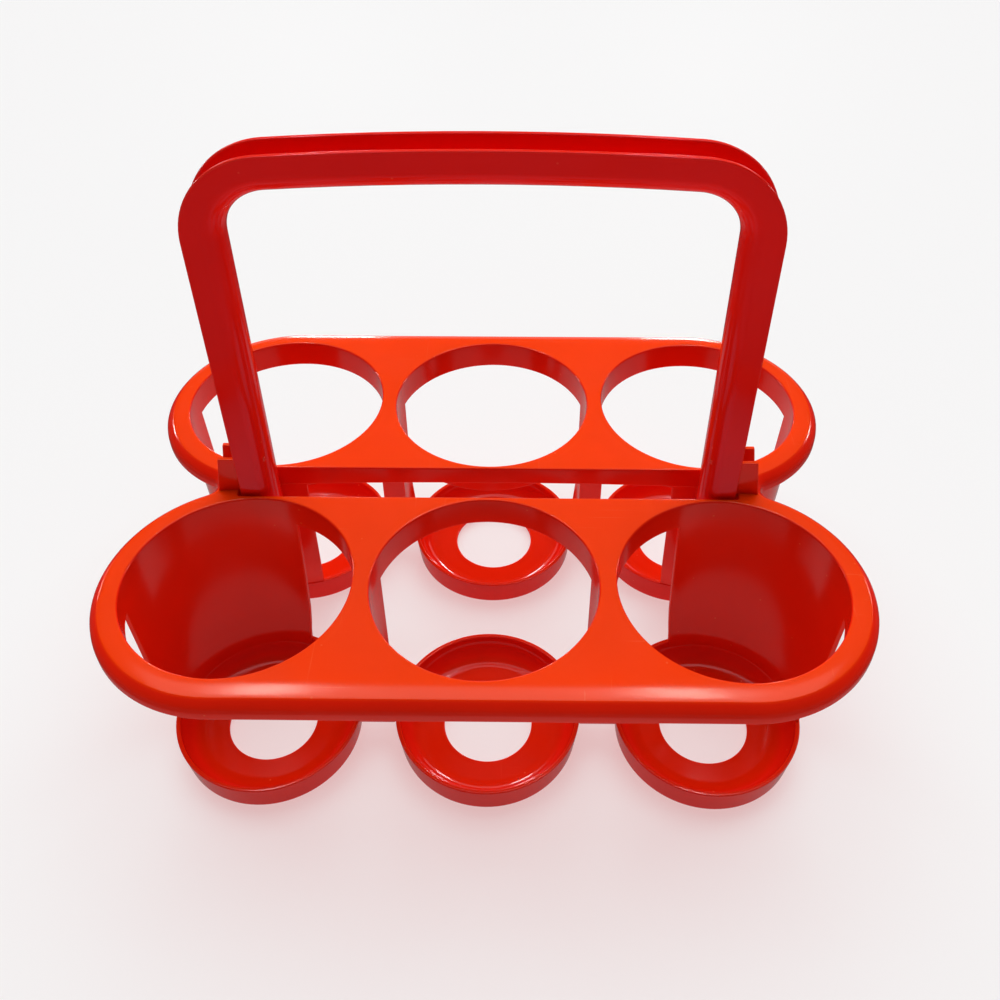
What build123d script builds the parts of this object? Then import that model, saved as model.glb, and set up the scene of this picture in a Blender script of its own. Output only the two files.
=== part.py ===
from build123d import *
import os
from math import asin, cos, degrees, radians, sin, sqrt

# Carrier for six milk bottles: two rows of three cells with a tall carrying handle between the rows.
# Millimetres. X runs along the rows, Y across them, Z up.
# The origin is on the floor, under the middle of the carrier.

# Cells
HOLE_RADIUS = 46.4          # bottle holes in the deck
WEB_WIDTH = 7.2             # deck left between two neighbouring holes
HANDLE_SIDE_GAP = 1.0       # from the handle's flat side to each plate
WALL = 2.0                  # wall of the carrier moulding

# Deck
DECK_TOP = 103.3
RIM_MARGIN = 11.7           # from a hole's edge to the deck's outer edge
RIM_DEPTH = 9.3             # height of the outer rim
RIM_ROUNDING = 4.4          # rounding of the rim's upper edge
RIM_FOOT_ROUNDING = 0.8
HOLE_EDGE_ROUNDING = 0.9
SKIRT_DEPTH = 14.0          # from the deck's top to the lower edge of the collar round each hole
LIP_DEPTH_MIDDLE = 9.0      # lip along the gap, in the middle of its length
LIP_DEPTH_END = 11.4        # the same lip beside the handle
WAIST_ROUNDING = 5.8        # hollow corner between the two plates, at each end

# Cups
CUP_HEIGHT = 15.0
CUP_STEP = 4.1              # how much smaller a cup's rim is than the hole above it
CUP_DRAFT = 1.7             # how much smaller a cup's foot is than its rim
CUP_HOLE_RADIUS = 20.2
CUP_HOLE_RISE = 3.8         # how far the floor rises from the cup's foot to its hole
CUP_FOOT_WIDTH = 5.5        # flat ring that the cup stands on
CUP_FOOT_ROUNDING = 1.0
CUP_CORNER_ROUNDING = 3.0   # inside, between wall and floor

# End walls, from the deck down to the outer cups on the handle's side
END_WALL_START = 71.0       # degrees round the cell, from the row's own direction
END_WALL_SWEEP = 116.0
END_WALL_DRAFT = 2.9        # how much smaller the radius is at the lower end
END_WALL_FLARE = 6.0        # height of the curved-in foot above the cup

# Pillars, between neighbouring cells
PILLAR_HALF_DEPTH = 14.0
PILLAR_FOOT_HALF_DEPTH = 8.0
PILLAR_TAPER_HEIGHT = 23.0  # height of the narrowing part above the cups
PILLAR_GRIP = 3.0           # how far the foot reaches down between two cups

# Handle
HANDLE_TOP = 266.2
HANDLE_WIDTH = 16.0         # across the gap
HANDLE_DEPTH = 15.3         # from the open side to the rounded side
HANDLE_WALL = 2.0
HANDLE_EDGE_ROUNDING = 5.0  # long edges on the closed side
HANDLE_CORNER_RADIUS = 34.0
GRIP_ARCH_RADIUS = 1190.0   # slight crown of the grip
LEG_OUTER_OFFSET = 9.0      # from an end cell's centre out to the leg's open side
LEG_DEPTH_BELOW_DECK = 45.0
LEG_STOP_THICKNESS = 2.0    # cross rib inside the leg that rests on the cheeks

# Sockets
CHEEK_HEIGHT = 18.0
CHEEK_THICKNESS = 2.0
CHEEK_REACH_TOP = 7.5       # how far a cheek stands out past the leg, at its top
CHEEK_REACH_FOOT = 10.3     # and at its foot
TONGUE_THICKNESS = 2.6
SLIDE_CLEARANCE = 0.3       # between the handle's channel and what it slides over
SLOT_END_CLEARANCE = 1.0    # between a leg's open side and the end of the gap

# Sizes that follow
CELL_PITCH = 2 * HOLE_RADIUS + WEB_WIDTH
CUP_RIM_RADIUS = HOLE_RADIUS - CUP_STEP
CUP_FOOT_RADIUS = CUP_RIM_RADIUS - CUP_DRAFT
GAP_HALF_WIDTH = HANDLE_WIDTH / 2 + HANDLE_SIDE_GAP
ROW_OFFSET = GAP_HALF_WIDTH + WALL + HOLE_RADIUS
END_RADIUS = HOLE_RADIUS + RIM_MARGIN
COLLAR_RADIUS = HOLE_RADIUS + WALL
RIM_BOTTOM = DECK_TOP - RIM_DEPTH
SKIRT_BOTTOM = DECK_TOP - SKIRT_DEPTH
UNDERSIDE = DECK_TOP - WALL
LEG_OUTER = CELL_PITCH + LEG_OUTER_OFFSET
LEG_INNER = LEG_OUTER - HANDLE_DEPTH
LEG_FOOT = DECK_TOP - LEG_DEPTH_BELOW_DECK
CHANNEL_HALF_WIDTH = HANDLE_WIDTH / 2 - HANDLE_WALL
GUIDE_HALF_WIDTH = CHANNEL_HALF_WIDTH - SLIDE_CLEARANCE
GUIDE_START = LEG_INNER + HANDLE_EDGE_ROUNDING + SLIDE_CLEARANCE
SLOT_END = LEG_OUTER + SLOT_END_CLEARANCE
CHEEK_TOP = DECK_TOP + CHEEK_HEIGHT
ARCH_ANGLE = degrees(asin((LEG_OUTER - HANDLE_CORNER_RADIUS) / (GRIP_ARCH_RADIUS - HANDLE_CORNER_RADIUS)))
ARCH_RISE = GRIP_ARCH_RADIUS * (1 - cos(radians(ARCH_ANGLE)))
CORNER_START = HANDLE_TOP - ARCH_RISE - HANDLE_CORNER_RADIUS * cos(radians(ARCH_ANGLE))
FAR = 400.0                 # longer than the whole carrier, for cutting blocks

COLUMNS = {"left": -1, "middle": 0, "right": 1}
ROWS = {"front": -1, "rear": 1}
SIDES = {"left": -1, "right": 1}

os.makedirs("parts", exist_ok=True)


def write(builder, name):
    """Label a finished piece and write it as its own STEP file."""
    builder.part.label = name
    export_step(builder.part, f"parts/{name}.step")


def radial_plane(x, y, azimuth):
    """Upright plane through a cell's centre line: its x runs outwards, its y runs up."""
    c = cos(radians(azimuth))
    s = sin(radians(azimuth))
    return Plane(origin=(x, y, 0), x_dir=(c, s, 0), z_dir=(s, -c, 0))


def cup_radius(z):
    """Outer radius of a cup at a height."""
    return CUP_FOOT_RADIUS + (CUP_RIM_RADIUS - CUP_FOOT_RADIUS) * z / CUP_HEIGHT


# ---- Deck: both plates and the two waists that join them, drawn as one shell ----

def deck_outline():
    """Two slots side by side, with a hollow rounded waist at each end."""
    waist_centre = CELL_PITCH + sqrt((END_RADIUS + WAIST_ROUNDING) ** 2 - ROW_OFFSET ** 2)
    share = END_RADIUS / (END_RADIUS + WAIST_ROUNDING)
    touch_x = CELL_PITCH + (waist_centre - CELL_PITCH) * share
    touch_y = ROW_OFFSET * (1 - share)
    with BuildSketch() as outline:
        with Locations((0, -ROW_OFFSET), (0, ROW_OFFSET)):
            SlotCenterToCenter(2 * CELL_PITCH, 2 * END_RADIUS)
        for side in (-1, 1):
            with BuildLine():
                Line((side * CELL_PITCH, -ROW_OFFSET), (side * touch_x, -touch_y))
                ThreePointArc((side * touch_x, -touch_y), (side * (waist_centre - WAIST_ROUNDING), 0),
                              (side * touch_x, touch_y))
                Line((side * touch_x, touch_y), (side * CELL_PITCH, ROW_OFFSET))
                Line((side * CELL_PITCH, ROW_OFFSET), (side * CELL_PITCH, -ROW_OFFSET))
            make_face()
        Rectangle(2 * CELL_PITCH, 2 * GAP_HALF_WIDTH)
    return outline.sketch


outline = deck_outline()

with BuildPart() as pocket:
    with BuildSketch(Plane.XY.offset(RIM_BOTTOM)):
        add(outline)
        offset(amount=-WALL)
    extrude(amount=RIM_DEPTH - WALL)
    fillet(pocket.faces().sort_by(Axis.Z)[-1].edges(), RIM_ROUNDING - WALL)

with BuildPart() as deck:
    with BuildSketch(Plane.XY.offset(RIM_BOTTOM)):
        add(outline)
    extrude(amount=RIM_DEPTH)
    fillet(deck.faces().sort_by(Axis.Z)[-1].edges(), RIM_ROUNDING)
    fillet(deck.faces().sort_by(Axis.Z)[0].edges(), RIM_FOOT_ROUNDING)
    add(pocket.part, mode=Mode.SUBTRACT)
    # Collars round the holes
    with BuildSketch(Plane.XY.offset(SKIRT_BOTTOM)):
        for column in COLUMNS.values():
            for row in ROWS.values():
                with Locations((column * CELL_PITCH, row * ROW_OFFSET)):
                    Circle(COLLAR_RADIUS)
    extrude(amount=SKIRT_DEPTH - WALL)
    # Lips along the gap and round its ends
    lip_length = 2 * (SLOT_END + WALL)
    with BuildSketch(Plane.XZ.offset(-GAP_HALF_WIDTH - WALL)):
        with BuildLine():
            Polyline((-lip_length / 2, DECK_TOP - LIP_DEPTH_END), (-lip_length / 2, UNDERSIDE),
                     (lip_length / 2, UNDERSIDE), (lip_length / 2, DECK_TOP - LIP_DEPTH_END))
            ThreePointArc((-lip_length / 2, DECK_TOP - LIP_DEPTH_END), (0, DECK_TOP - LIP_DEPTH_MIDDLE),
                          (lip_length / 2, DECK_TOP - LIP_DEPTH_END))
        make_face()
    extrude(amount=2 * (GAP_HALF_WIDTH + WALL))
    # The gap and the holes
    with BuildSketch(Plane.XY.offset(SKIRT_BOTTOM)):
        Rectangle(2 * SLOT_END, 2 * GAP_HALF_WIDTH)
        for column in COLUMNS.values():
            for row in ROWS.values():
                with Locations((column * CELL_PITCH, row * ROW_OFFSET)):
                    Circle(HOLE_RADIUS)
    extrude(amount=SKIRT_DEPTH, mode=Mode.SUBTRACT)
    hole_edges = (deck.edges().filter_by(GeomType.CIRCLE)
                  .filter_by(lambda edge: abs(edge.radius - HOLE_RADIUS) < 0.01)
                  .filter_by(lambda edge: abs(edge.center().Z - DECK_TOP) < 0.01))
    fillet(hole_edges, HOLE_EDGE_ROUNDING)

for row_name, row in ROWS.items():
    with BuildPart() as plate:
        add(deck.part)
        with BuildSketch(Plane.XY.offset(SKIRT_BOTTOM)):
            with Locations((0, row * (GAP_HALF_WIDTH + FAR / 2))):
                Rectangle(FAR, FAR)
        extrude(amount=SKIRT_DEPTH, mode=Mode.INTERSECT)
    write(plate, f"{row_name}_plate")

for side_name, side in SIDES.items():
    with BuildPart() as waist:
        add(deck.part)
        with BuildSketch(Plane.XY.offset(SKIRT_BOTTOM)):
            with Locations((side * (SLOT_END + FAR / 2), 0)):
                Rectangle(FAR, 2 * GAP_HALF_WIDTH)
        extrude(amount=SKIRT_DEPTH, mode=Mode.INTERSECT)
        # Tongue that the leg's channel slides down over
        with BuildSketch(Plane.XY.offset(DECK_TOP - TONGUE_THICKNESS)):
            with Locations((side * (GUIDE_START + SLOT_END) / 2, 0)):
                Rectangle(SLOT_END - GUIDE_START, 2 * GUIDE_HALF_WIDTH)
        extrude(amount=TONGUE_THICKNESS)
    write(waist, f"{side_name}_waist")


# ---- Socket cheeks: upright guides that stand inside each leg's channel ----

for side_name, side in SIDES.items():
    for row_name, row in ROWS.items():
        outer_face = row * GUIDE_HALF_WIDTH
        with BuildPart() as cheek:
            with BuildSketch(Plane.XZ.offset(-outer_face)):
                with BuildLine():
                    Polyline((side * GUIDE_START, DECK_TOP), (side * GUIDE_START, CHEEK_TOP),
                             (side * (LEG_OUTER + CHEEK_REACH_TOP), CHEEK_TOP),
                             (side * (LEG_OUTER + CHEEK_REACH_FOOT), DECK_TOP), close=True)
                make_face()
            extrude(amount=row * CHEEK_THICKNESS)
        write(cheek, f"{side_name}_{row_name}_cheek")


# ---- Cups: shallow seats for the bottles, with an open, dished floor ----

def cup_profile(plane):
    """Half section of a cup, in a radial plane."""
    foot_inner = CUP_FOOT_RADIUS - CUP_FOOT_WIDTH
    corner_radius = cup_radius(WALL) - WALL
    with BuildSketch(plane) as profile:
        with BuildLine():
            Polyline((CUP_HOLE_RADIUS, CUP_HOLE_RISE), (foot_inner, 0), (CUP_FOOT_RADIUS, 0),
                     (CUP_RIM_RADIUS, CUP_HEIGHT), (CUP_RIM_RADIUS - WALL, CUP_HEIGHT),
                     (corner_radius, WALL), (foot_inner, WALL),
                     (CUP_HOLE_RADIUS, CUP_HOLE_RISE + WALL), close=True)
        make_face()
        corner = profile.vertices().filter_by(
            lambda v: abs(v.X - corner_radius) < 0.01 and abs(v.Y - WALL) < 0.01)
        fillet(corner, CUP_CORNER_ROUNDING)
        foot = profile.vertices().filter_by(
            lambda v: abs(v.X - CUP_FOOT_RADIUS) < 0.01 and abs(v.Y) < 0.01)
        fillet(foot, CUP_FOOT_ROUNDING)
    return profile.sketch


for column_name, column in COLUMNS.items():
    for row_name, row in ROWS.items():
        x = column * CELL_PITCH
        y = row * ROW_OFFSET
        profile = cup_profile(radial_plane(x, y, 0))
        with BuildPart() as cup:
            revolve(profile, axis=Axis((x, y, 0), (0, 0, 1)))
        write(cup, f"{row_name}_{column_name}_cup")


# ---- End walls: quarter shells from the deck down to the outer cups, beside the handle ----

wall_waist_z = CUP_HEIGHT + END_WALL_FLARE
wall_waist_radius = HOLE_RADIUS - END_WALL_DRAFT

for side_name, side in SIDES.items():
    for row_name, row in ROWS.items():
        x = side * CELL_PITCH
        y = row * ROW_OFFSET
        first = END_WALL_START if side < 0 else 180 - END_WALL_START - END_WALL_SWEEP
        start = first if row < 0 else -first - END_WALL_SWEEP
        with BuildPart() as end_wall:
            with BuildSketch(radial_plane(x, y, start)):
                with BuildLine():
                    Polyline((CUP_RIM_RADIUS, CUP_HEIGHT), (wall_waist_radius + WALL, wall_waist_z),
                             (COLLAR_RADIUS, SKIRT_BOTTOM), (HOLE_RADIUS, SKIRT_BOTTOM),
                             (wall_waist_radius, wall_waist_z + WALL / 2),
                             (CUP_RIM_RADIUS - WALL, CUP_HEIGHT), close=True)
                make_face()
            revolve(axis=Axis((x, y, 0), (0, 0, 1)), revolution_arc=END_WALL_SWEEP)
        write(end_wall, f"{side_name}_{row_name}_end_wall")


# ---- Pillars: hollow columns between neighbouring cells, with sides that follow the bottles ----

def pillar_block(y, inset, top):
    """Side outline of a pillar, drawn across the row and pulled along it."""
    taper_top = CUP_HEIGHT + PILLAR_TAPER_HEIGHT
    bottom = CUP_HEIGHT - PILLAR_GRIP
    body = PILLAR_HALF_DEPTH - inset
    foot = PILLAR_FOOT_HALF_DEPTH - inset
    with BuildPart() as block:
        with BuildSketch(Plane.YZ):
            with BuildLine():
                Polyline((y - body, top), (y - body, taper_top), (y - foot, CUP_HEIGHT), (y - foot, bottom),
                         (y + foot, bottom), (y + foot, CUP_HEIGHT), (y + body, taper_top),
                         (y + body, top), close=True)
            make_face()
        extrude(amount=CELL_PITCH, both=True)
    return block.part


def cell_space(x, y, outset):
    """Solid of the bottle's space in a cell, narrowing to the cup at its foot."""
    low = CUP_HEIGHT - PILLAR_GRIP
    with BuildPart() as space:
        with BuildSketch(radial_plane(x, y, 0)):
            with BuildLine():
                Polyline((0, low), (cup_radius(low) + outset, low), (CUP_RIM_RADIUS + outset, CUP_HEIGHT),
                         (HOLE_RADIUS + outset, CUP_HEIGHT + PILLAR_TAPER_HEIGHT),
                         (HOLE_RADIUS + outset, DECK_TOP), (0, DECK_TOP), close=True)
            make_face()
        revolve(axis=Axis((x, y, 0), (0, 0, 1)))
    return space.part


def pillar_between(x, y, inset, top):
    """Block between the two cells beside x, with both bottle spaces taken away."""
    low = CUP_HEIGHT - PILLAR_GRIP
    with BuildPart() as between:
        add(pillar_block(y, inset, top))
        with BuildSketch(Plane.XY.offset(low)):
            with Locations((x, y)):
                Rectangle(CELL_PITCH, 2 * PILLAR_HALF_DEPTH)
        extrude(amount=top - low, mode=Mode.INTERSECT)
        add(cell_space(x - CELL_PITCH / 2, y, inset), mode=Mode.SUBTRACT)
        add(cell_space(x + CELL_PITCH / 2, y, inset), mode=Mode.SUBTRACT)
    return between.part


for side_name, side in SIDES.items():
    for row_name, row in ROWS.items():
        x = side * CELL_PITCH / 2
        y = row * ROW_OFFSET
        with BuildPart() as pillar:
            add(pillar_between(x, y, 0, SKIRT_BOTTOM))
            add(pillar_between(x, y, WALL, SKIRT_BOTTOM - WALL), mode=Mode.SUBTRACT)
        write(pillar, f"{side_name}_{row_name}_pillar")


# ---- Handle: one channel bent into an arch, open outwards, closed and rounded inwards ----

def channel_section(plane):
    """Channel section: its open side at local x = 0, its closed side inwards of it."""
    closed = -HANDLE_DEPTH
    floor = HANDLE_WALL - HANDLE_DEPTH
    half = HANDLE_WIDTH / 2
    with BuildSketch(plane) as section:
        with BuildLine():
            Polyline((0, -half), (closed, -half), (closed, half), (0, half), (0, CHANNEL_HALF_WIDTH),
                     (floor, CHANNEL_HALF_WIDTH), (floor, -CHANNEL_HALF_WIDTH),
                     (0, -CHANNEL_HALF_WIDTH), close=True)
        make_face()
        outside = section.vertices().filter_by(lambda v: abs(v.X - closed) < 0.01)
        fillet(outside, HANDLE_EDGE_ROUNDING)
        inside = section.vertices().filter_by(lambda v: abs(v.X - floor) < 0.01)
        fillet(inside, HANDLE_EDGE_ROUNDING - HANDLE_WALL)
    return section.sketch


def leg_plane(side, z):
    """Level plane at a leg's open side, with its x pointing outwards."""
    return Plane(origin=(side * LEG_OUTER, 0, z), x_dir=(side, 0, 0), z_dir=(0, 0, 1))


for side_name, side in SIDES.items():
    section = channel_section(leg_plane(side, LEG_FOOT))
    with BuildPart() as leg:
        extrude(section, amount=CORNER_START - LEG_FOOT)
        # Cross rib that comes to rest on the cheeks
        with BuildSketch(leg_plane(side, CHEEK_TOP)):
            with Locations((HANDLE_WALL / 2 - HANDLE_DEPTH / 2, 0)):
                Rectangle(HANDLE_DEPTH - HANDLE_WALL, 2 * CHANNEL_HALF_WIDTH)
        extrude(amount=LEG_STOP_THICKNESS)
    write(leg, f"handle_{side_name}_leg")

grip_section = channel_section(leg_plane(-1, CORNER_START))
with BuildPart() as grip:
    with BuildLine(Plane.XZ) as grip_line:
        left_corner = JernArc((-LEG_OUTER, CORNER_START), (0, 1), HANDLE_CORNER_RADIUS, ARCH_ANGLE - 90)
        crown = JernArc(left_corner @ 1, left_corner % 1, GRIP_ARCH_RADIUS, -2 * ARCH_ANGLE)
        JernArc(crown @ 1, crown % 1, HANDLE_CORNER_RADIUS, ARCH_ANGLE - 90)
    sweep(grip_section, path=grip_line.line)
write(grip, "handle_grip")
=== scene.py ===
from math import asin, atan2, cos, degrees, radians, sin, sqrt

import bmesh
import bpy
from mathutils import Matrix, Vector


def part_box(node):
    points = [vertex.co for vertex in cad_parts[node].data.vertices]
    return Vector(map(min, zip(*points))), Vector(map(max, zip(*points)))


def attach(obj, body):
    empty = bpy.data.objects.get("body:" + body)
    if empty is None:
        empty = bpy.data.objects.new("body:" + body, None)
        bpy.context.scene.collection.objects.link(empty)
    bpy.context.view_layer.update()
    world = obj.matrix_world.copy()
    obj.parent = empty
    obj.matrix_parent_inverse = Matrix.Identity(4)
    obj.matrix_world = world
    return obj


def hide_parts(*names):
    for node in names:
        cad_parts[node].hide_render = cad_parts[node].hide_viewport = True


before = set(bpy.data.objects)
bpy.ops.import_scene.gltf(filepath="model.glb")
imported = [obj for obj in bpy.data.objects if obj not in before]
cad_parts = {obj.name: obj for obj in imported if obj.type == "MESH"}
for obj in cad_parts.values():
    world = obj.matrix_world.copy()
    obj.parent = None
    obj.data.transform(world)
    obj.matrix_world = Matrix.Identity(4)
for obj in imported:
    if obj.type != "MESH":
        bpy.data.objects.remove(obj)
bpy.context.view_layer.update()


# ---- Deck: both plates, their rolled rim and collars, the waists and the four end walls ----
# One injection moulding in glossy red plastic, 2 mm thick all over and open underneath. The end walls are
# the collars of the outer holes drawn down to the cups, on the handle's side only.

MM = 0.001
HOLE_RADIUS = 46.4 * MM
WALL = 2 * MM
END_RADIUS = 58.1 * MM
DECK_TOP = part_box("front_plate")[1].z
RIM_BOTTOM = DECK_TOP - 9.3 * MM
COLLAR_BOTTOM = DECK_TOP - 14 * MM
GAP_HALF_WIDTH = 9 * MM
GAP_END = 110 * MM
CUP_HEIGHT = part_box("front_left_cup")[1].z
ROUND_STEPS = 96
NEAR = 0.01 * MM


def cell_centre(name):
    """Middle of a cell, as seen from above, from the cup at its foot."""
    low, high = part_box(f"{name}_cup")
    return (low.x + high.x) / 2, (low.y + high.y) / 2


CELL_NAMES = ["front_left", "front_middle", "front_right", "rear_left", "rear_middle", "rear_right"]
CELLS = {name: cell_centre(name) for name in CELL_NAMES}
PITCH = CELLS["front_right"][0]
ROW_OFFSET = CELLS["rear_left"][1]


def start_point(name, place):
    """Start a piece as a single vertex, and stay in edit mode with the vertex selected."""
    bpy.ops.object.select_all(action="DESELECT")
    bpy.ops.mesh.primitive_plane_add(size=MM)
    piece = bpy.context.object
    piece.name = name
    piece.data.name = name
    bpy.ops.object.mode_set(mode="EDIT")
    bpy.ops.mesh.select_mode(type="VERT")
    bpy.ops.mesh.select_all(action="SELECT")
    bpy.ops.mesh.merge(type="CENTER")
    bpy.ops.transform.translate(value=place)
    return piece


def line_by(step):
    """Draw on from what is selected in a straight line."""
    bpy.ops.mesh.extrude_region_move(TRANSFORM_OT_translate={"value": step})


def turn_by(angle, centre, steps, axis=(0, 0, 1)):
    """Draw on from what is selected along an arc, anticlockwise about the axis."""
    bpy.ops.mesh.spin(steps=steps, angle=-radians(angle), center=centre, axis=axis)


def pick(kind, test):
    """Select only the vertices, edges or faces that pass a test on their middle and their normal."""
    bpy.ops.mesh.select_mode(type=kind)
    bpy.ops.mesh.select_all(action="DESELECT")
    data = bpy.context.edit_object.data
    mesh = bmesh.from_edit_mesh(data)
    if kind == "VERT":
        for vert in mesh.verts:
            if test(vert.co, vert.normal):
                vert.select_set(True)
    if kind == "EDGE":
        for edge in mesh.edges:
            if test((edge.verts[0].co + edge.verts[1].co) / 2, edge.verts[0].normal):
                edge.select_set(True)
    if kind == "FACE":
        for face in mesh.faces:
            if test(face.calc_center_median(), face.normal):
                face.select_set(True)
    bmesh.update_edit_mesh(data)


def points_down():
    """True if the first of the selected faces points down."""
    mesh = bmesh.from_edit_mesh(bpy.context.edit_object.data)
    return next(face for face in mesh.faces if face.select).normal.z < 0


def merge_all():
    """Close the seams where a line or a spin came back to its start."""
    bpy.ops.mesh.select_all(action="SELECT")
    bpy.ops.mesh.remove_doubles(threshold=2 * NEAR)


def apply_modifier(piece, kind, **settings):
    """Add a modifier with these settings and apply it."""
    modifier = piece.modifiers.new(kind.lower(), kind)
    for key, value in settings.items():
        setattr(modifier, key, value)
    bpy.ops.object.modifier_apply(modifier=modifier.name)


def give_thickness(piece, thickness, edge_rounding):
    """Give a shell its wall, inwards, and round the edges where the wall ends."""
    bpy.ops.object.mode_set(mode="OBJECT")
    plain = bpy.data.materials.new("wall_marker")
    piece.data.materials.append(plain)
    piece.data.materials.append(plain)
    apply_modifier(piece, "SOLIDIFY", thickness=thickness, offset=-1, use_even_offset=True,
                   material_offset_rim=1)
    bpy.ops.object.mode_set(mode="EDIT")
    bpy.ops.mesh.select_mode(type="FACE")
    bpy.ops.mesh.select_all(action="DESELECT")
    mesh = bmesh.from_edit_mesh(piece.data)
    for face in mesh.faces:
        face.select_set(face.material_index == 1)
    bmesh.update_edit_mesh(piece.data)
    bpy.ops.mesh.region_to_loop()
    bpy.ops.mesh.bevel(offset=edge_rounding, segments=3, affect="EDGES", clamp_overlap=True)
    bpy.ops.object.mode_set(mode="OBJECT")
    piece.data.materials.clear()
    bpy.data.materials.remove(plain)


def smooth(piece, angle=40):
    """Shade a finished mesh smooth, with its flat faces kept flat."""
    bpy.ops.object.mode_set(mode="OBJECT")
    bpy.ops.object.select_all(action="DESELECT")
    piece.select_set(True)
    bpy.context.view_layer.objects.active = piece
    bpy.ops.object.shade_smooth_by_angle(angle=radians(angle))
    apply_modifier(piece, "WEIGHTED_NORMAL", keep_sharp=True, weight=80)


# Outline of the deck, from the front edge round to the right
waist_rounding = 5.8 * MM
waist_centre = PITCH + sqrt((END_RADIUS + waist_rounding) ** 2 - ROW_OFFSET ** 2)
waist_angle = degrees(atan2(ROW_OFFSET, waist_centre - PITCH))
end_sweep = 90 + waist_angle
end_steps = 52
waist_steps = 12
deck = start_point("deck_moulding", (-PITCH, -ROW_OFFSET - END_RADIUS, RIM_BOTTOM))
line_by((2 * PITCH, 0, 0))
turn_by(end_sweep, (PITCH, -ROW_OFFSET, 0), end_steps)
turn_by(-2 * waist_angle, (waist_centre, 0, 0), waist_steps)
turn_by(end_sweep, (PITCH, ROW_OFFSET, 0), end_steps)
line_by((-2 * PITCH, 0, 0))
turn_by(end_sweep, (-PITCH, ROW_OFFSET, 0), end_steps)
turn_by(-2 * waist_angle, (-waist_centre, 0, 0), waist_steps)
turn_by(end_sweep, (-PITCH, -ROW_OFFSET, 0), end_steps)
merge_all()

# Rim: an upright foot, a sloping shoulder up to a firm edge, then a shallow crown to the flat top
rim_steps = [(0.2, 1.2), (0.35, 0.85), (0.55, 0.85), (0.8, 0.9), (1.0, 0.9), (0.75, 0.5), (0.35, 0.14),
             (1.6, 0.34), (1.6, 0.24), (1.6, 0.14), (1.4, 0.06)]
line_by((0, 0, DECK_TOP - RIM_BOTTOM - sum(up for inward, up in rim_steps) * MM))
bpy.ops.mesh.edge_face_add()
pick("FACE", lambda place, normal: abs(normal.z) > 0.9)
if points_down():
    bpy.ops.mesh.flip_normals()
for inward, up in rim_steps:
    bpy.ops.mesh.inset(thickness=inward * MM, depth=up * MM)
bpy.ops.mesh.delete(type="ONLY_FACE")

# Holes: a small rounded edge, then the collar
hole_rounding = 0.9 * MM
bpy.ops.mesh.select_mode(type="EDGE")
for x, y in CELLS.values():
    radius = HOLE_RADIUS + hole_rounding
    bpy.ops.mesh.primitive_circle_add(vertices=ROUND_STEPS, radius=radius, location=(x, y, DECK_TOP))
    for angle in (22.5, 45, 67.5, 90):
        lower = HOLE_RADIUS + hole_rounding * (1 - sin(radians(angle)))
        drop = hole_rounding * (cos(radians(angle - 22.5)) - cos(radians(angle)))
        line_by((0, 0, -drop))
        bpy.ops.transform.resize(value=(lower / radius, lower / radius, 1), center_override=(x, y, 0))
        radius = lower
    line_by((0, 0, COLLAR_BOTTOM - DECK_TOP + hole_rounding))

# Gap for the handle, with a lip that is deepest beside the handle's legs
lip_end = DECK_TOP - 11.4 * MM
lip_rise = 2.4 * MM
lip_rounding = 0.8 * MM
gap_corner = 1.6 * MM
bpy.ops.mesh.primitive_plane_add(size=2, location=(0, 0, DECK_TOP))
bpy.ops.transform.resize(value=(GAP_END + lip_rounding, GAP_HALF_WIDTH + lip_rounding, 1))
bpy.ops.mesh.bevel(offset=gap_corner, segments=4, affect="VERTICES")
for inward, down in ((0.35, 0.08), (0.36, 0.28), (0.29, 0.64)):
    bpy.ops.mesh.inset(thickness=inward * lip_rounding, depth=-down * lip_rounding)
bpy.ops.mesh.delete(type="ONLY_FACE")
pick("EDGE", lambda place, normal: abs(place.x) < MM and abs(place.y) < GAP_HALF_WIDTH + MM)
bpy.ops.mesh.subdivide(number_cuts=23)
pick("EDGE", lambda place, normal: abs(place.z - DECK_TOP + lip_rounding) < NEAR
     and abs(place.y) < GAP_HALF_WIDTH + 0.1 * MM and abs(place.x) < GAP_END + 0.1 * MM)
line_by((0, 0, lip_end - DECK_TOP + lip_rounding))
bpy.ops.mesh.hide(unselected=True)
pick("VERT", lambda place, normal: abs(place.x) < 0.5 * MM)
bpy.ops.transform.translate(value=(0, 0, lip_rise), use_proportional_edit=True,
                            proportional_edit_falloff="INVERSE_SQUARE", proportional_size=GAP_END)
bpy.ops.mesh.reveal(select=False)

# Flat top between the rim, the holes and the gap
pick("EDGE", lambda place, normal: abs(place.z - DECK_TOP) < NEAR)
bpy.ops.mesh.fill(use_beauty=True)

# End walls: part of each outer collar's lower edge drawn down, until it runs into the inside of the cup
wall_start = 71
wall_sweep = 116
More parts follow.
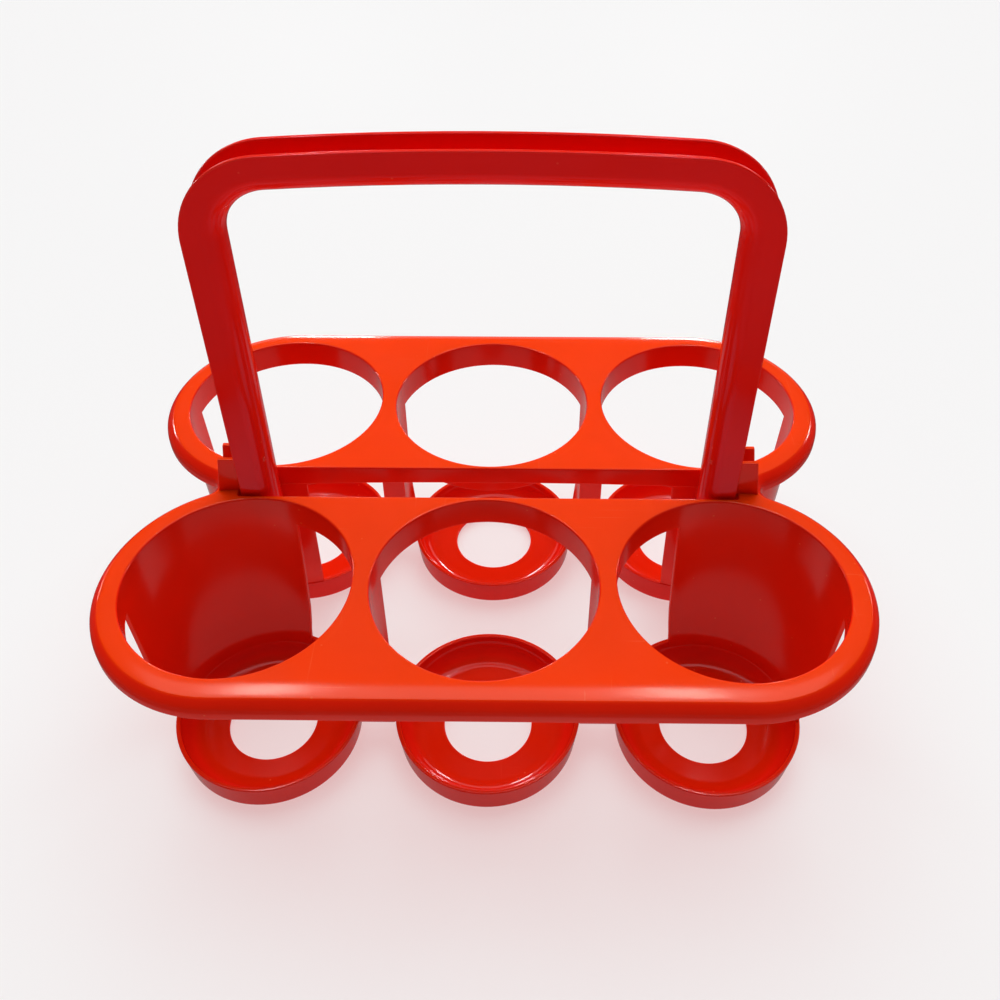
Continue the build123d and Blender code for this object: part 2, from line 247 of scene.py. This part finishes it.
# Radius and height of the wall's inner face at each level, in millimetres
wall_levels = [(44.9, 55), (43.3, 34), (41.9, 26), (40.6, 20.6), (40.1, 17), (39.4, 10), (38.6, 7.2)]
for name in ("front_left", "front_right", "rear_left", "rear_right"):
    x, y = CELLS[name]
    side = 1 if x > 0 else -1
    row = 1 if y > 0 else -1

    def on_wall(place, normal):
        """True for the stretch of the collar's lower edge on the handle's side."""
        across = (place.x - x) * side
        along = -(place.y - y) * row
        azimuth = degrees(atan2(along, -across)) % 360
        off_collar = abs(sqrt(across ** 2 + along ** 2) - HOLE_RADIUS)
        return (abs(place.z - COLLAR_BOTTOM) < NEAR and off_collar < MM
                and wall_start < azimuth < wall_start + wall_sweep)

    pick("EDGE", on_wall)
    radius = HOLE_RADIUS
    height = COLLAR_BOTTOM
    for low_radius, low_height in wall_levels:
        line_by((0, 0, low_height * MM - height))
        scale = low_radius * MM / radius
        bpy.ops.transform.resize(value=(scale, scale, 1), center_override=(x, y, 0))
        radius = low_radius * MM
        height = low_height * MM

merge_all()
bpy.ops.mesh.normals_make_consistent(inside=False)
pick("FACE", lambda place, normal: abs(place.z - DECK_TOP) < NEAR)
if points_down():
    bpy.ops.mesh.select_all(action="SELECT")
    bpy.ops.mesh.flip_normals()
give_thickness(deck, WALL - 0.02 * MM, edge_rounding=0.5 * MM)

# Tongues that stand in the ends of the gap, between the cheeks
tongue_start = 99 * MM
tongue_end = 111 * MM
tongue_width = 11.4 * MM
tongue_thickness = 2.4 * MM
tongue_middle = DECK_TOP - 1.4 * MM
bpy.ops.object.mode_set(mode="EDIT")
for side in (-1, 1):
    tongue_x = side * (tongue_start + tongue_end) / 2
    bpy.ops.mesh.select_all(action="DESELECT")
    bpy.ops.mesh.primitive_cube_add(size=1, location=(tongue_x, 0, tongue_middle))
    bpy.ops.transform.resize(value=(tongue_end - tongue_start, tongue_width, tongue_thickness))
    bpy.ops.mesh.bevel(offset=0.3 * MM, segments=2, affect="EDGES")
smooth(deck)


def math_node(tree, kind, *values):
    """A sum on up to three values, each a number or the output of another node."""
    node = tree.nodes.new("ShaderNodeMath")
    node.operation = kind
    for socket, value in zip(node.inputs, values):
        if isinstance(value, (int, float)):
            socket.default_value = value
        else:
            tree.links.new(value, socket)
    return node.outputs["Value"]


def make_painted_light_and_mark_group():
    """Colour, roughness and height that every moulded red surface varies by, painted light on the tops and
    edges included.
    """
    group = bpy.data.node_groups.new("moulded_surface", "ShaderNodeTree")
    face = group.interface
    for name in ("Colour", "Painted Top Shading", "Sheen And Mark Colour"):
        face.new_socket(name, in_out="INPUT", socket_type="NodeSocketColor")
    for name in ("Roughness", "Wear And Sheen", "Scratches", "Specks", "Waviness"):
        face.new_socket(name, in_out="INPUT", socket_type="NodeSocketFloat")
    face.new_socket("Colour", in_out="OUTPUT", socket_type="NodeSocketColor")
    face.new_socket("Roughness", in_out="OUTPUT", socket_type="NodeSocketFloat")
    face.new_socket("Height", in_out="OUTPUT", socket_type="NodeSocketFloat")
    add = group.nodes.new
    link = group.links.new
    given = add("NodeGroupInput")
    out = add("NodeGroupOutput")
    place = add("ShaderNodeTexCoord")

    def noise(scale, detail, roughness=0.5, source=None):
        node = add("ShaderNodeTexNoise")
        node.inputs["Scale"].default_value = scale
        node.inputs["Detail"].default_value = detail
        node.inputs["Roughness"].default_value = roughness
        link(source or place.outputs["Object"], node.inputs["Vector"])
        return node.outputs["Fac"]

    def math(kind, *values):
        return math_node(group, kind, *values)

    def band(value, low, high):
        node = add("ShaderNodeMapRange")
        node.interpolation_type = "SMOOTHSTEP"
        node.inputs["From Min"].default_value = low
        node.inputs["From Max"].default_value = high
        link(value, node.inputs["Value"])
        return node.outputs["Result"]

    # Scratches: long thin lines in two directions, broken up by a broad noise
    along_rows = ((0.2, 0.1, 0.35), (14, 900, 900), 0.69)
    across_rows = ((0.1, 0.3, -0.5), (900, 18, 900), 0.70)
    lines = []
    for turn, stretch, cut in (along_rows, across_rows):
        turned = add("ShaderNodeMapping")
        turned.inputs["Rotation"].default_value = turn
        turned.inputs["Scale"].default_value = stretch
        link(place.outputs["Object"], turned.inputs["Vector"])
        lines.append(band(noise(1, 2, 0.4, turned.outputs["Vector"]), cut, cut + 0.05))
    patches = band(noise(22, 2), 0.45, 0.62)
    true_normal = add("ShaderNodeNewGeometry")
    upright = add("ShaderNodeSeparateXYZ")
    link(true_normal.outputs["Normal"], upright.inputs["Vector"])
    scratch = math("MULTIPLY", math("MAXIMUM", lines[0], lines[1]), patches)
    scratch = math("MULTIPLY", scratch, band(upright.outputs["Z"], 0.9, 0.98))
    scratch = math("MULTIPLY", scratch, given.outputs["Scratches"])

    # Specks of dust and small pits
    cells = add("ShaderNodeTexVoronoi")
    cells.inputs["Scale"].default_value = 230
    link(place.outputs["Object"], cells.inputs["Vector"])
    dot = math("LESS_THAN", cells.outputs["Distance"], 0.11)
    chosen = add("ShaderNodeSeparateColor")
    link(cells.outputs["Color"], chosen.inputs["Color"])
    speck = math("MULTIPLY", dot, math("GREATER_THAN", chosen.outputs["Red"], 0.93))
    speck = math("MULTIPLY", speck, given.outputs["Specks"])

    # Worn edges with a painted highlight: where a rounded normal leaves the true one, partly real wear and
    # partly painted sheen
    rounded = add("ShaderNodeBevel")
    rounded.samples = 4
    rounded.inputs["Radius"].default_value = 0.9 * MM
    same = add("ShaderNodeVectorMath")
    same.operation = "DOT_PRODUCT"
    link(rounded.outputs["Normal"], same.inputs[0])
    link(true_normal.outputs["Normal"], same.inputs[1])
    edge = band(same.outputs["Value"], 0.985, 0.86)
    edge = math("MULTIPLY", edge, math("MULTIPLY_ADD", noise(160, 3), 0.9, 0.3))
    edge = math("MULTIPLY", edge, given.outputs["Wear And Sheen"])

    # Colour: painted light and shade where it faces up, slow flow marks, then the worn edges with a painted
    # sheen, and scratches
    painted_top = add("ShaderNodeMix")
    painted_top.data_type = "RGBA"
    link(band(upright.outputs["Z"], 0.75, 1.0), painted_top.inputs["Factor"])
    link(given.outputs["Colour"], painted_top.inputs["A"])
    link(given.outputs["Painted Top Shading"], painted_top.inputs["B"])
    flow = math("MULTIPLY_ADD", noise(11, 3, 0.55), 0.22, 0.89)
    flow = math("MULTIPLY", flow, math("MULTIPLY_ADD", noise(60, 2), 0.06, 0.97))
    tinted = add("ShaderNodeVectorMath")
    tinted.operation = "SCALE"
    link(painted_top.outputs["Result"], tinted.inputs[0])
    link(flow, tinted.inputs["Scale"])
    sheened_and_marked = add("ShaderNodeMix")
    sheened_and_marked.data_type = "RGBA"
    link(tinted.outputs["Vector"], sheened_and_marked.inputs["A"])
    link(given.outputs["Sheen And Mark Colour"], sheened_and_marked.inputs["B"])
    # Edges, scratches and specks all take the lighter mark colour; on the edges it is partly a painted
    # highlight.
    marks_and_sheen = math("MAXIMUM", edge, math("MAXIMUM", math("MULTIPLY", scratch, 0.5), speck))
    link(marks_and_sheen, sheened_and_marked.inputs["Factor"])
    link(sheened_and_marked.outputs["Result"], out.inputs["Colour"])

    # Roughness: a little uneven from handling, duller in the marks
    dull = math("MULTIPLY_ADD", noise(34, 3, 0.5), 0.08, -0.04)
    dull = math("ADD", dull, given.outputs["Roughness"])
    dull = math("MULTIPLY_ADD", marks_and_sheen, 0.3, dull)
    link(dull, out.inputs["Roughness"])

    # Height in millimetres: sinking of the skin, fine grain, scratches
    wave = math("MULTIPLY", noise(26, 2), given.outputs["Waviness"])
    grain = math("MULTIPLY", noise(1500, 2), 0.012)
    height = math("ADD", math("MULTIPLY", wave, 0.35), grain)
    height = math("MULTIPLY_ADD", scratch, -0.03, height)
    link(height, out.inputs["Height"])
    return group


painted_light_and_mark_group = make_painted_light_and_mark_group()


def moulded_red(name, colour, painted_top_shading, sheen_and_mark_colour, gloss_tint, amounts):
    """Glossy red moulded plastic, with its surface marks and painted edge sheen in the given amounts, and
    painted top shading.
    """
    material = bpy.data.materials.new(name)
    material.use_nodes = True
    nodes = material.node_tree.nodes
    link = material.node_tree.links.new
    shader = nodes["Principled BSDF"]
    marks_and_sheen = nodes.new("ShaderNodeGroup")
    marks_and_sheen.node_tree = painted_light_and_mark_group
    marks_and_sheen.inputs["Colour"].default_value = (*colour, 1)
    marks_and_sheen.inputs["Painted Top Shading"].default_value = (*painted_top_shading, 1)
    marks_and_sheen.inputs["Sheen And Mark Colour"].default_value = (*sheen_and_mark_colour, 1)
    for mark, amount in amounts.items():
        marks_and_sheen.inputs[mark].default_value = amount
    bump = nodes.new("ShaderNodeBump")
    bump.inputs["Strength"].default_value = 0.35
    bump.inputs["Distance"].default_value = MM
    link(marks_and_sheen.outputs["Colour"], shader.inputs["Base Color"])
    link(marks_and_sheen.outputs["Roughness"], shader.inputs["Roughness"])
    link(marks_and_sheen.outputs["Height"], bump.inputs["Height"])
    link(bump.outputs["Normal"], shader.inputs["Normal"])
    shader.inputs["Specular IOR Level"].default_value = 0.42
    shader.inputs["Specular Tint"].default_value = (*gloss_tint, 1)
    shader.inputs["Subsurface Weight"].default_value = 0.06
    shader.inputs["Subsurface Radius"].default_value = (0.004, 0.0008, 0.0003)
    shader.inputs["Subsurface Scale"].default_value = 1
    return material


# Its colour for what faces up is more orange: painted light on the deck's top; its lighter edge colour is
# partly painted sheen.
carrier_red = moulded_red("carrier_red", colour=(0.88, 0.014, 0.002), painted_top_shading=(0.90, 0.044, 0.001),
                          sheen_and_mark_colour=(0.95, 0.15, 0.05), gloss_tint=(1, 0.95, 0.85),
                          amounts={"Roughness": 0.15, "Wear And Sheen": 0.4, "Scratches": 0.5, "Specks": 0.35,
                                   "Waviness": 0.5})
deck.data.materials.append(carrier_red)
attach(deck, "carrier")
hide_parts("front_plate", "rear_plate", "left_waist", "right_waist", "left_front_end_wall",
            "left_rear_end_wall", "right_front_end_wall", "right_rear_end_wall")


# ---- Cups: six shallow seats for the feet of the bottles ----
# Part of the same red moulding. Each is a low tapered ring with a dished floor and a round hole in its
# middle, so that drips run out.

def copy_at(piece, name, step=(0, 0, 0), flips=(1, 1, 1)):
    """Copy a finished piece with its own mesh, mirrored about the middle or moved by a step."""
    bpy.ops.object.select_all(action="DESELECT")
    twin = piece.copy()
    twin.data = piece.data.copy()
    twin.name = name
    twin.data.name = name
    bpy.context.collection.objects.link(twin)
    twin.select_set(True)
    bpy.context.view_layer.objects.active = twin
    bpy.ops.object.mode_set(mode="EDIT")
    bpy.ops.mesh.select_all(action="SELECT")
    bpy.ops.transform.translate(value=step)
    if min(flips) < 0:
        bpy.ops.transform.resize(value=flips, center_override=(0, 0, 0))
        bpy.ops.mesh.normals_make_consistent(inside=False)
    smooth(twin)
    return twin


cup_rim = 42.3 * MM
cup_foot = 40.6 * MM
cup_hole = 20.2 * MM
floor_rise = 2.2 * MM
foot_ring = 5.5 * MM
foot_rounding = 1.8 * MM
floor_rounding = 10 * MM
x, y = CELLS["front_left"]
cup = start_point("cup_front_left", (x + cup_hole, y, floor_rise))
profile = [(cup_foot - foot_ring, 0), (cup_foot, 0), (cup_rim, CUP_HEIGHT), (cup_rim - WALL, CUP_HEIGHT),
           (cup_foot + 0.3 * MM - WALL, 3.6 * MM), (cup_hole, floor_rise + WALL)]
last = Vector((cup_hole, 0, floor_rise))
for out, up in profile:
    line_by(Vector((out, 0, up)) - last)
    last = Vector((out, 0, up))
bpy.ops.mesh.select_all(action="SELECT")
bpy.ops.mesh.edge_face_add()


def round_corners(points, offset, segments):
    """Round the corners of a flat profile that lie at these places out from the cell's middle."""
    pick("VERT", lambda place, normal: any(abs(place.x - x - out) < 0.1 * MM
                                           and abs(place.z - up) < 0.1 * MM for out, up in points))
    bpy.ops.mesh.bevel(offset=offset, segments=segments, affect="VERTICES")


round_corners([profile[1]], foot_rounding, 4)
round_corners([profile[2], profile[3]], 0.6 * MM, 3)
round_corners([profile[4]], floor_rounding, 14)
round_corners([(cup_hole, floor_rise), (cup_hole, floor_rise + WALL)], 0.7 * MM, 3)
bpy.ops.mesh.select_all(action="SELECT")
bpy.ops.mesh.delete(type="ONLY_FACE")
bpy.ops.mesh.select_all(action="SELECT")
turn_by(360, (x, y, 0), ROUND_STEPS)
merge_all()
bpy.ops.mesh.normals_make_consistent(inside=False)
smooth(cup)
cups = {"front_left": cup}
for name in CELL_NAMES[1:]:
    step = (CELLS[name][0] - x, CELLS[name][1] - y, 0)
    cups[name] = copy_at(cup, f"cup_{name}", step)
# Its colour for what faces up is darker: painted shade on the cup floors under the deck; its edges get more
# of the lighter colour, a painted highlight on the rims.
cup_red = moulded_red("cup_red", colour=(0.84, 0.012, 0.003), painted_top_shading=(0.72, 0.016, 0.001),
                      sheen_and_mark_colour=(0.90, 0.12, 0.06), gloss_tint=(1, 0.85, 0.9),
                      amounts={"Roughness": 0.10, "Wear And Sheen": 0.7, "Scratches": 0.2, "Specks": 0.5,
                               "Waviness": 0.9})
for name, piece in cups.items():
    piece.data.materials.append(cup_red)
    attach(piece, "carrier")
    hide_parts(f"{name}_cup")


# ---- Pillars: four hollow columns that hold the middle cups under the deck ----
# Part of the same red moulding. Each stands in the web between two cells, so its sides are hollowed to the
# bottles. It narrows at its foot, where it grips the rims of the two cups beside it.

OTHER_CORNERS = [("right", "front", (-1, 1, 1)),
                 ("left", "rear", (1, -1, 1)),
                 ("right", "rear", (-1, -1, 1))]
pillar_top = DECK_TOP - 1.6 * MM
pillar_x = (CELLS["front_left"][0] + CELLS["front_middle"][0]) / 2
pillar_y = CELLS["front_left"][1]
arc_steps = 10


def pillar_loop(half_depth, radius, height):
    """Draw a level outline of the pillar, with two hollow sides and two flat ones."""
    reach = sqrt(radius ** 2 - half_depth ** 2)
    half_width = PITCH / 2 - reach
    angle = 2 * degrees(asin(half_depth / radius))
    bpy.ops.mesh.select_mode(type="VERT")
    bpy.ops.mesh.select_all(action="DESELECT")
    bpy.ops.mesh.primitive_plane_add(size=MM)
    bpy.ops.mesh.merge(type="CENTER")
    bpy.ops.transform.translate(value=(pillar_x - half_width, pillar_y - half_depth, height))
    line_by((2 * half_width, 0, 0))
    turn_by(-angle, (pillar_x + PITCH / 2, pillar_y, 0), arc_steps)
    line_by((-2 * half_width, 0, 0))
    turn_by(-angle, (pillar_x - PITCH / 2, pillar_y, 0), arc_steps)
    pick("VERT", lambda place, normal: abs(place.z - height) < NEAR)
    bpy.ops.mesh.remove_doubles(threshold=2 * NEAR)


bpy.ops.object.select_all(action="DESELECT")
bpy.ops.mesh.primitive_plane_add(size=MM)
pillar = bpy.context.object
pillar.name = "pillar_left_front"
pillar.data.name = "pillar_left_front"
bpy.ops.object.mode_set(mode="EDIT")
bpy.ops.mesh.delete(type="VERT")
pillar_side = HOLE_RADIUS + 0.05 * MM
pillar_half_depth = 14 * MM
# Half depth, radius of the hollow sides, and height, at each level from the top down
levels = [(pillar_half_depth, pillar_side + 0.8 * MM, pillar_top),
          (pillar_half_depth, pillar_side, COLLAR_BOTTOM + 0.6 * MM),
          (pillar_half_depth, pillar_side, 38 * MM),
          (8 * MM, cup_rim - 0.05 * MM, 15.5 * MM),
          (5.4 * MM, cup_rim - 0.3 * MM, 12 * MM)]
for half_depth, radius, height in levels:
    pillar_loop(half_depth, radius, height)
for upper, lower in zip(levels, levels[1:]):
    pick("EDGE", lambda place, normal: min(abs(place.z - upper[2]), abs(place.z - lower[2])) < NEAR)
    bpy.ops.mesh.bridge_edge_loops()
merge_all()
bpy.ops.mesh.normals_make_consistent(inside=False)


def is_upright_corner(edge):
    """True for the four long corners of the pillar, between its flat faces and its hollow sides."""
    one, two = edge.verts[0].co, edge.verts[1].co
    if abs(one.z - two.z) < MM or len(edge.link_faces) != 2:
        return False
    return edge.calc_face_angle(0) > radians(40)


bpy.ops.mesh.select_mode(type="EDGE")
bpy.ops.mesh.select_all(action="DESELECT")
mesh = bmesh.from_edit_mesh(pillar.data)
for edge in mesh.edges:
    edge.select_set(is_upright_corner(edge))
bmesh.update_edit_mesh(pillar.data)
bpy.ops.mesh.bevel(offset=0.7 * MM, segments=3, affect="EDGES")

# The tube is open at both ends, so its largest flat face tells which way is out
pick("FACE", lambda place, normal: True)
mesh = bmesh.from_edit_mesh(pillar.data)
flat_face = max(mesh.faces, key=lambda face: face.calc_area())
way_out = flat_face.calc_center_median() - Vector((pillar_x, pillar_y, 50 * MM))
if abs(flat_face.normal.y) > 0.9 and flat_face.normal.dot(way_out) < 0:
    bpy.ops.mesh.flip_normals()
give_thickness(pillar, 1.6 * MM, edge_rounding=0.3 * MM)
smooth(pillar)
pillars = {("left", "front"): pillar}
for side, row, flips in OTHER_CORNERS:
    pillars[side, row] = copy_at(pillar, f"pillar_{side}_{row}", flips=flips)
for (side, row), piece in pillars.items():
    piece.data.materials.append(carrier_red)
    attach(piece, "carrier")
    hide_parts(f"{side}_{row}_pillar")


# ---- Cheeks: upright guides for the handle's legs ----
# Two thin tapered plates stand on the deck at each end of the gap, part of the same moulding. The leg's
# channel slides down over each pair.

low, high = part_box("left_front_cheek")
cheek_root = 1 * MM
cheek_taper = 2.8 * MM
cheek_middle = ((low.x + high.x) / 2, (low.y + high.y) / 2, (low.z + high.z) / 2 - cheek_root / 2)
bpy.ops.object.select_all(action="DESELECT")
bpy.ops.mesh.primitive_cube_add(size=1, location=cheek_middle)
cheek = bpy.context.object
cheek.name = "cheek_left_front"
cheek.data.name = "cheek_left_front"
bpy.ops.object.mode_set(mode="EDIT")
bpy.ops.transform.resize(value=(high.x - low.x, high.y - low.y, high.z - low.z + cheek_root))
bpy.ops.object.mode_set(mode="OBJECT")
bpy.ops.object.transform_apply(location=True, rotation=True, scale=True)
bpy.ops.object.mode_set(mode="EDIT")
pick("VERT", lambda place, normal: place.x < low.x + MM and place.z > high.z - MM)
bpy.ops.transform.translate(value=(cheek_taper, 0, 0))
bpy.ops.mesh.select_all(action="SELECT")
bpy.ops.mesh.bevel(offset=0.45 * MM, segments=3, affect="EDGES")
smooth(cheek)
cheeks = {("left", "front"): cheek}
for side, row, flips in OTHER_CORNERS:
    cheeks[side, row] = copy_at(cheek, f"cheek_{side}_{row}", flips=flips)
for (side, row), piece in cheeks.items():
    piece.data.materials.append(carrier_red)
    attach(piece, "carrier")
    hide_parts(f"{side}_{row}_cheek")


# ---- Handle: one tall arch between the rows ----
# A second moulding in a slightly deeper red. Its channel section is open on the outside and closed and
# rounded on the inside, and its legs go down over the cheeks until a rib across each channel rests on them.

LEG_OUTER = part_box("handle_right_leg")[1].x
LEG_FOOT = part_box("handle_right_leg")[0].z
HANDLE_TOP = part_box("handle_grip")[1].z
HANDLE_DEPTH = 15.3 * MM
HANDLE_HALF_WIDTH = 8 * MM
HANDLE_WALL = 2 * MM
inner_rounding = 7.5 * MM
corner_radius = 34 * MM
crown_radius = 1190 * MM
crown_angle = degrees(asin((LEG_OUTER - corner_radius) / (crown_radius - corner_radius)))
crown_drop = crown_radius * (1 - cos(radians(crown_angle)))
corner_start = HANDLE_TOP - crown_drop - corner_radius * cos(radians(crown_angle))
corner_steps = 20
crown_steps = 12
closed = -LEG_OUTER + HANDLE_DEPTH
handle = start_point("handle_arch", (-LEG_OUTER, -HANDLE_HALF_WIDTH, LEG_FOOT))
line_by((HANDLE_DEPTH, 0, 0))
line_by((0, 2 * HANDLE_HALF_WIDTH, 0))
line_by((-HANDLE_DEPTH, 0, 0))
line_by((0, -HANDLE_WALL, 0))
line_by((HANDLE_DEPTH - HANDLE_WALL, 0, 0))
line_by((0, 2 * HANDLE_WALL - 2 * HANDLE_HALF_WIDTH, 0))
line_by((HANDLE_WALL - HANDLE_DEPTH, 0, 0))
bpy.ops.mesh.select_all(action="SELECT")
bpy.ops.mesh.edge_face_add()
pick("VERT", lambda place, normal: abs(place.x - closed) < 0.1 * MM)
bpy.ops.mesh.bevel(offset=inner_rounding, segments=12, affect="VERTICES")
pick("VERT", lambda place, normal: abs(place.x - closed + HANDLE_WALL) < 0.1 * MM
     and abs(abs(place.y) - HANDLE_HALF_WIDTH + HANDLE_WALL) < 0.1 * MM)
bpy.ops.mesh.bevel(offset=inner_rounding - HANDLE_WALL - 0.1 * MM, segments=8, affect="VERTICES")
pick("VERT", lambda place, normal: abs(place.x + LEG_OUTER) < 0.1 * MM)
bpy.ops.mesh.bevel(offset=0.55 * MM, segments=3, affect="VERTICES")
pick("FACE", lambda place, normal: True)
line_by((0, 0, corner_start - LEG_FOOT))
turn_by(90 - crown_angle, (corner_radius - LEG_OUTER, 0, corner_start), corner_steps, axis=(0, 1, 0))
turn_by(2 * crown_angle, (0, 0, HANDLE_TOP - crown_radius), crown_steps, axis=(0, 1, 0))
turn_by(90 - crown_angle, (LEG_OUTER - corner_radius, 0, corner_start), corner_steps, axis=(0, 1, 0))
line_by((0, 0, LEG_FOOT - corner_start))
merge_all()
bpy.ops.mesh.normals_make_consistent(inside=False)
pick("FACE", lambda place, normal: abs(place.z - LEG_FOOT) < NEAR)
bpy.ops.mesh.region_to_loop()
bpy.ops.mesh.bevel(offset=0.4 * MM, segments=2, affect="EDGES")

# Rib across each leg's channel, which rests on the cheeks
rib_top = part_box("left_front_cheek")[1].z + HANDLE_WALL
rib_inset = 6.9 * MM
rib_length = 13 * MM
rib_width = 12.4 * MM
for side in (-1, 1):
    rib_middle = (side * (LEG_OUTER - rib_inset), 0, rib_top - HANDLE_WALL / 2)
    bpy.ops.mesh.select_all(action="DESELECT")
    bpy.ops.mesh.primitive_cube_add(size=1, location=rib_middle)
    bpy.ops.transform.resize(value=(rib_length, rib_width, HANDLE_WALL))
    bpy.ops.mesh.bevel(offset=0.3 * MM, segments=2, affect="EDGES")
smooth(handle)

# Its colour for what faces up is a little more orange: painted light on the grip's top; its lighter edges
# are partly painted sheen.
handle_red = moulded_red("handle_red", colour=(0.88, 0.009, 0.004), painted_top_shading=(0.88, 0.016, 0.004),
                         sheen_and_mark_colour=(1.0, 0.12, 0.06), gloss_tint=(1, 0.65, 1),
                         amounts={"Roughness": 0.13, "Wear And Sheen": 0.8, "Scratches": 0.4, "Specks": 0.3,
                                  "Waviness": 0.4})
handle.data.materials.append(handle_red)
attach(handle, "handle")
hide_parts("handle_grip", "handle_left_leg", "handle_right_leg")


# ---- Studio: pale floor, soft light and the camera ----
# A plain paper floor that gives off part of its own light, one broad soft light from above and behind,
# panels and windows that show only in the gloss, and a camera above the front of the carrier.

bpy.ops.object.select_all(action="DESELECT")
bpy.ops.mesh.primitive_plane_add(size=12, location=(0, 0, -0.2 * MM))
floor = bpy.context.object
floor.name = "studio_floor"


def studio_paper():
    """Pale paper that gives off some light, and fades out of the gloss away from the carrier."""
    material = bpy.data.materials.new("studio_paper")
    material.use_nodes = True
    tree = material.node_tree
    shader = tree.nodes["Principled BSDF"]
    shader.inputs["Roughness"].default_value = 0.7
    shader.inputs["Specular IOR Level"].default_value = 0.1
    shader.inputs["Emission Strength"].default_value = 1
    place = tree.nodes.new("ShaderNodeTexCoord")
    distance = tree.nodes.new("ShaderNodeVectorMath")
    distance.operation = "LENGTH"
    tree.links.new(place.outputs["Object"], distance.inputs[0])
    near = tree.nodes.new("ShaderNodeMapRange")
    near.interpolation_type = "SMOOTHSTEP"
    for name, value in (("From Min", 0.17), ("From Max", 0.30), ("To Min", 0.42), ("To Max", 0.04)):
        near.inputs[name].default_value = value
    tree.links.new(distance.outputs["Value"], near.inputs["Value"])
    ray = tree.nodes.new("ShaderNodeLightPath")
    seen = tree.nodes.new("ShaderNodeMix")
    seen.inputs["A"].default_value = 1
    tree.links.new(near.outputs["Result"], seen.inputs["B"])
    tree.links.new(ray.outputs["Is Glossy Ray"], seen.inputs["Factor"])
    dimmed = math_node(tree, "MULTIPLY_ADD", ray.outputs["Is Diffuse Ray"], -0.05, 1)
    level = math_node(tree, "MULTIPLY", dimmed, seen.outputs["Result"])
    # The glow is pink and the paper's own colour less red, so the floor's shadows under the carrier stay
    # light and pinkish: painted red bounce light.
    for socket, colour in (("Base Color", (0.22, 0.42, 0.42)), ("Emission Color", (0.675, 0.455, 0.455))):
        scaled = tree.nodes.new("ShaderNodeVectorMath")
        scaled.operation = "SCALE"
        scaled.inputs[0].default_value = colour
        tree.links.new(level, scaled.inputs["Scale"])
        tree.links.new(scaled.outputs["Vector"], shader.inputs[socket])
    return material


floor.data.materials.append(studio_paper())

world = bpy.data.worlds.new("studio_air")
bpy.context.scene.world = world
world.use_nodes = True
air = world.node_tree.nodes["Background"]
air_ray = world.node_tree.nodes.new("ShaderNodeLightPath")
air_seen = math_node(world.node_tree, "MULTIPLY_ADD", air_ray.outputs["Is Camera Ray"], 0.77, 0.14)
air_level = math_node(world.node_tree, "MULTIPLY_ADD", air_ray.outputs["Is Glossy Ray"], -0.12, air_seen)
world.node_tree.links.new(air_level, air.inputs["Strength"])
air.inputs["Color"].default_value = (1, 1, 1, 1)


def soft_light(name, kind, place, aim, power, size, shows):
    """A lamp that faces a point and either lights the object or shows in its gloss.

    Size is a panel's two sides, or a sun's spread in degrees.
    """
    lamp = bpy.data.lights.new(name, kind)
    lamp.energy = power
    if kind == "AREA":
        lamp.shape = "RECTANGLE"
        lamp.size, lamp.size_y = size
    else:
        lamp.angle = radians(size)
    holder = bpy.data.objects.new(name, lamp)
    bpy.context.collection.objects.link(holder)
    holder.location = place
    holder.rotation_euler = (Vector(aim) - Vector(place)).to_track_quat("-Z", "Y").to_euler()
    holder.visible_glossy = shows
    holder.visible_diffuse = not shows


soft_light("broad_sky", "SUN", (0, 1.3, 2), (0, 0, 0), 3.55, 80, shows=False)
soft_light("ceiling_panel", "AREA", (0, 0.2, 1.3), (0, 0.2, 0), 4, (1.6, 0.6), shows=True)
soft_light("back_strip", "AREA", (0, 1.6, 0.4), (0, 0, 0.1), 2.2, (2.4, 0.35), shows=True)
soft_light("left_window", "AREA", (-0.38, 0.32, 1.28), (-0.38, 0.32, 0), 1.5, (0.08, 0.40), shows=True)
for place in (0.235, 0.295):
    soft_light("right_window", "AREA", (place, 0.32, 1.28), (place, 0.32, 0), 0.8, (0.02, 0.40), shows=True)
for x, y in ((-0.9, 0.5), (-0.3, 1.2), (0.3, 1.2), (0.9, 0.5)):
    soft_light("low_window", "AREA", (x, y, 0.36), (0, 0, 0.02), 1.2, (0.16, 0.08), shows=True)

view = bpy.data.cameras.new("studio_camera")
view.lens = 36.44
view.sensor_width = 36
view.shift_x = -0.0122
view.shift_y = -0.0858
camera = bpy.data.objects.new("studio_camera", view)
bpy.context.collection.objects.link(camera)
camera.location = (0.01397, -0.32386, 0.41910)
camera.rotation_euler = (radians(49.608), radians(0.002), radians(0.585))
bpy.context.scene.camera = camera
bpy.context.scene.view_settings.view_transform = "Standard"
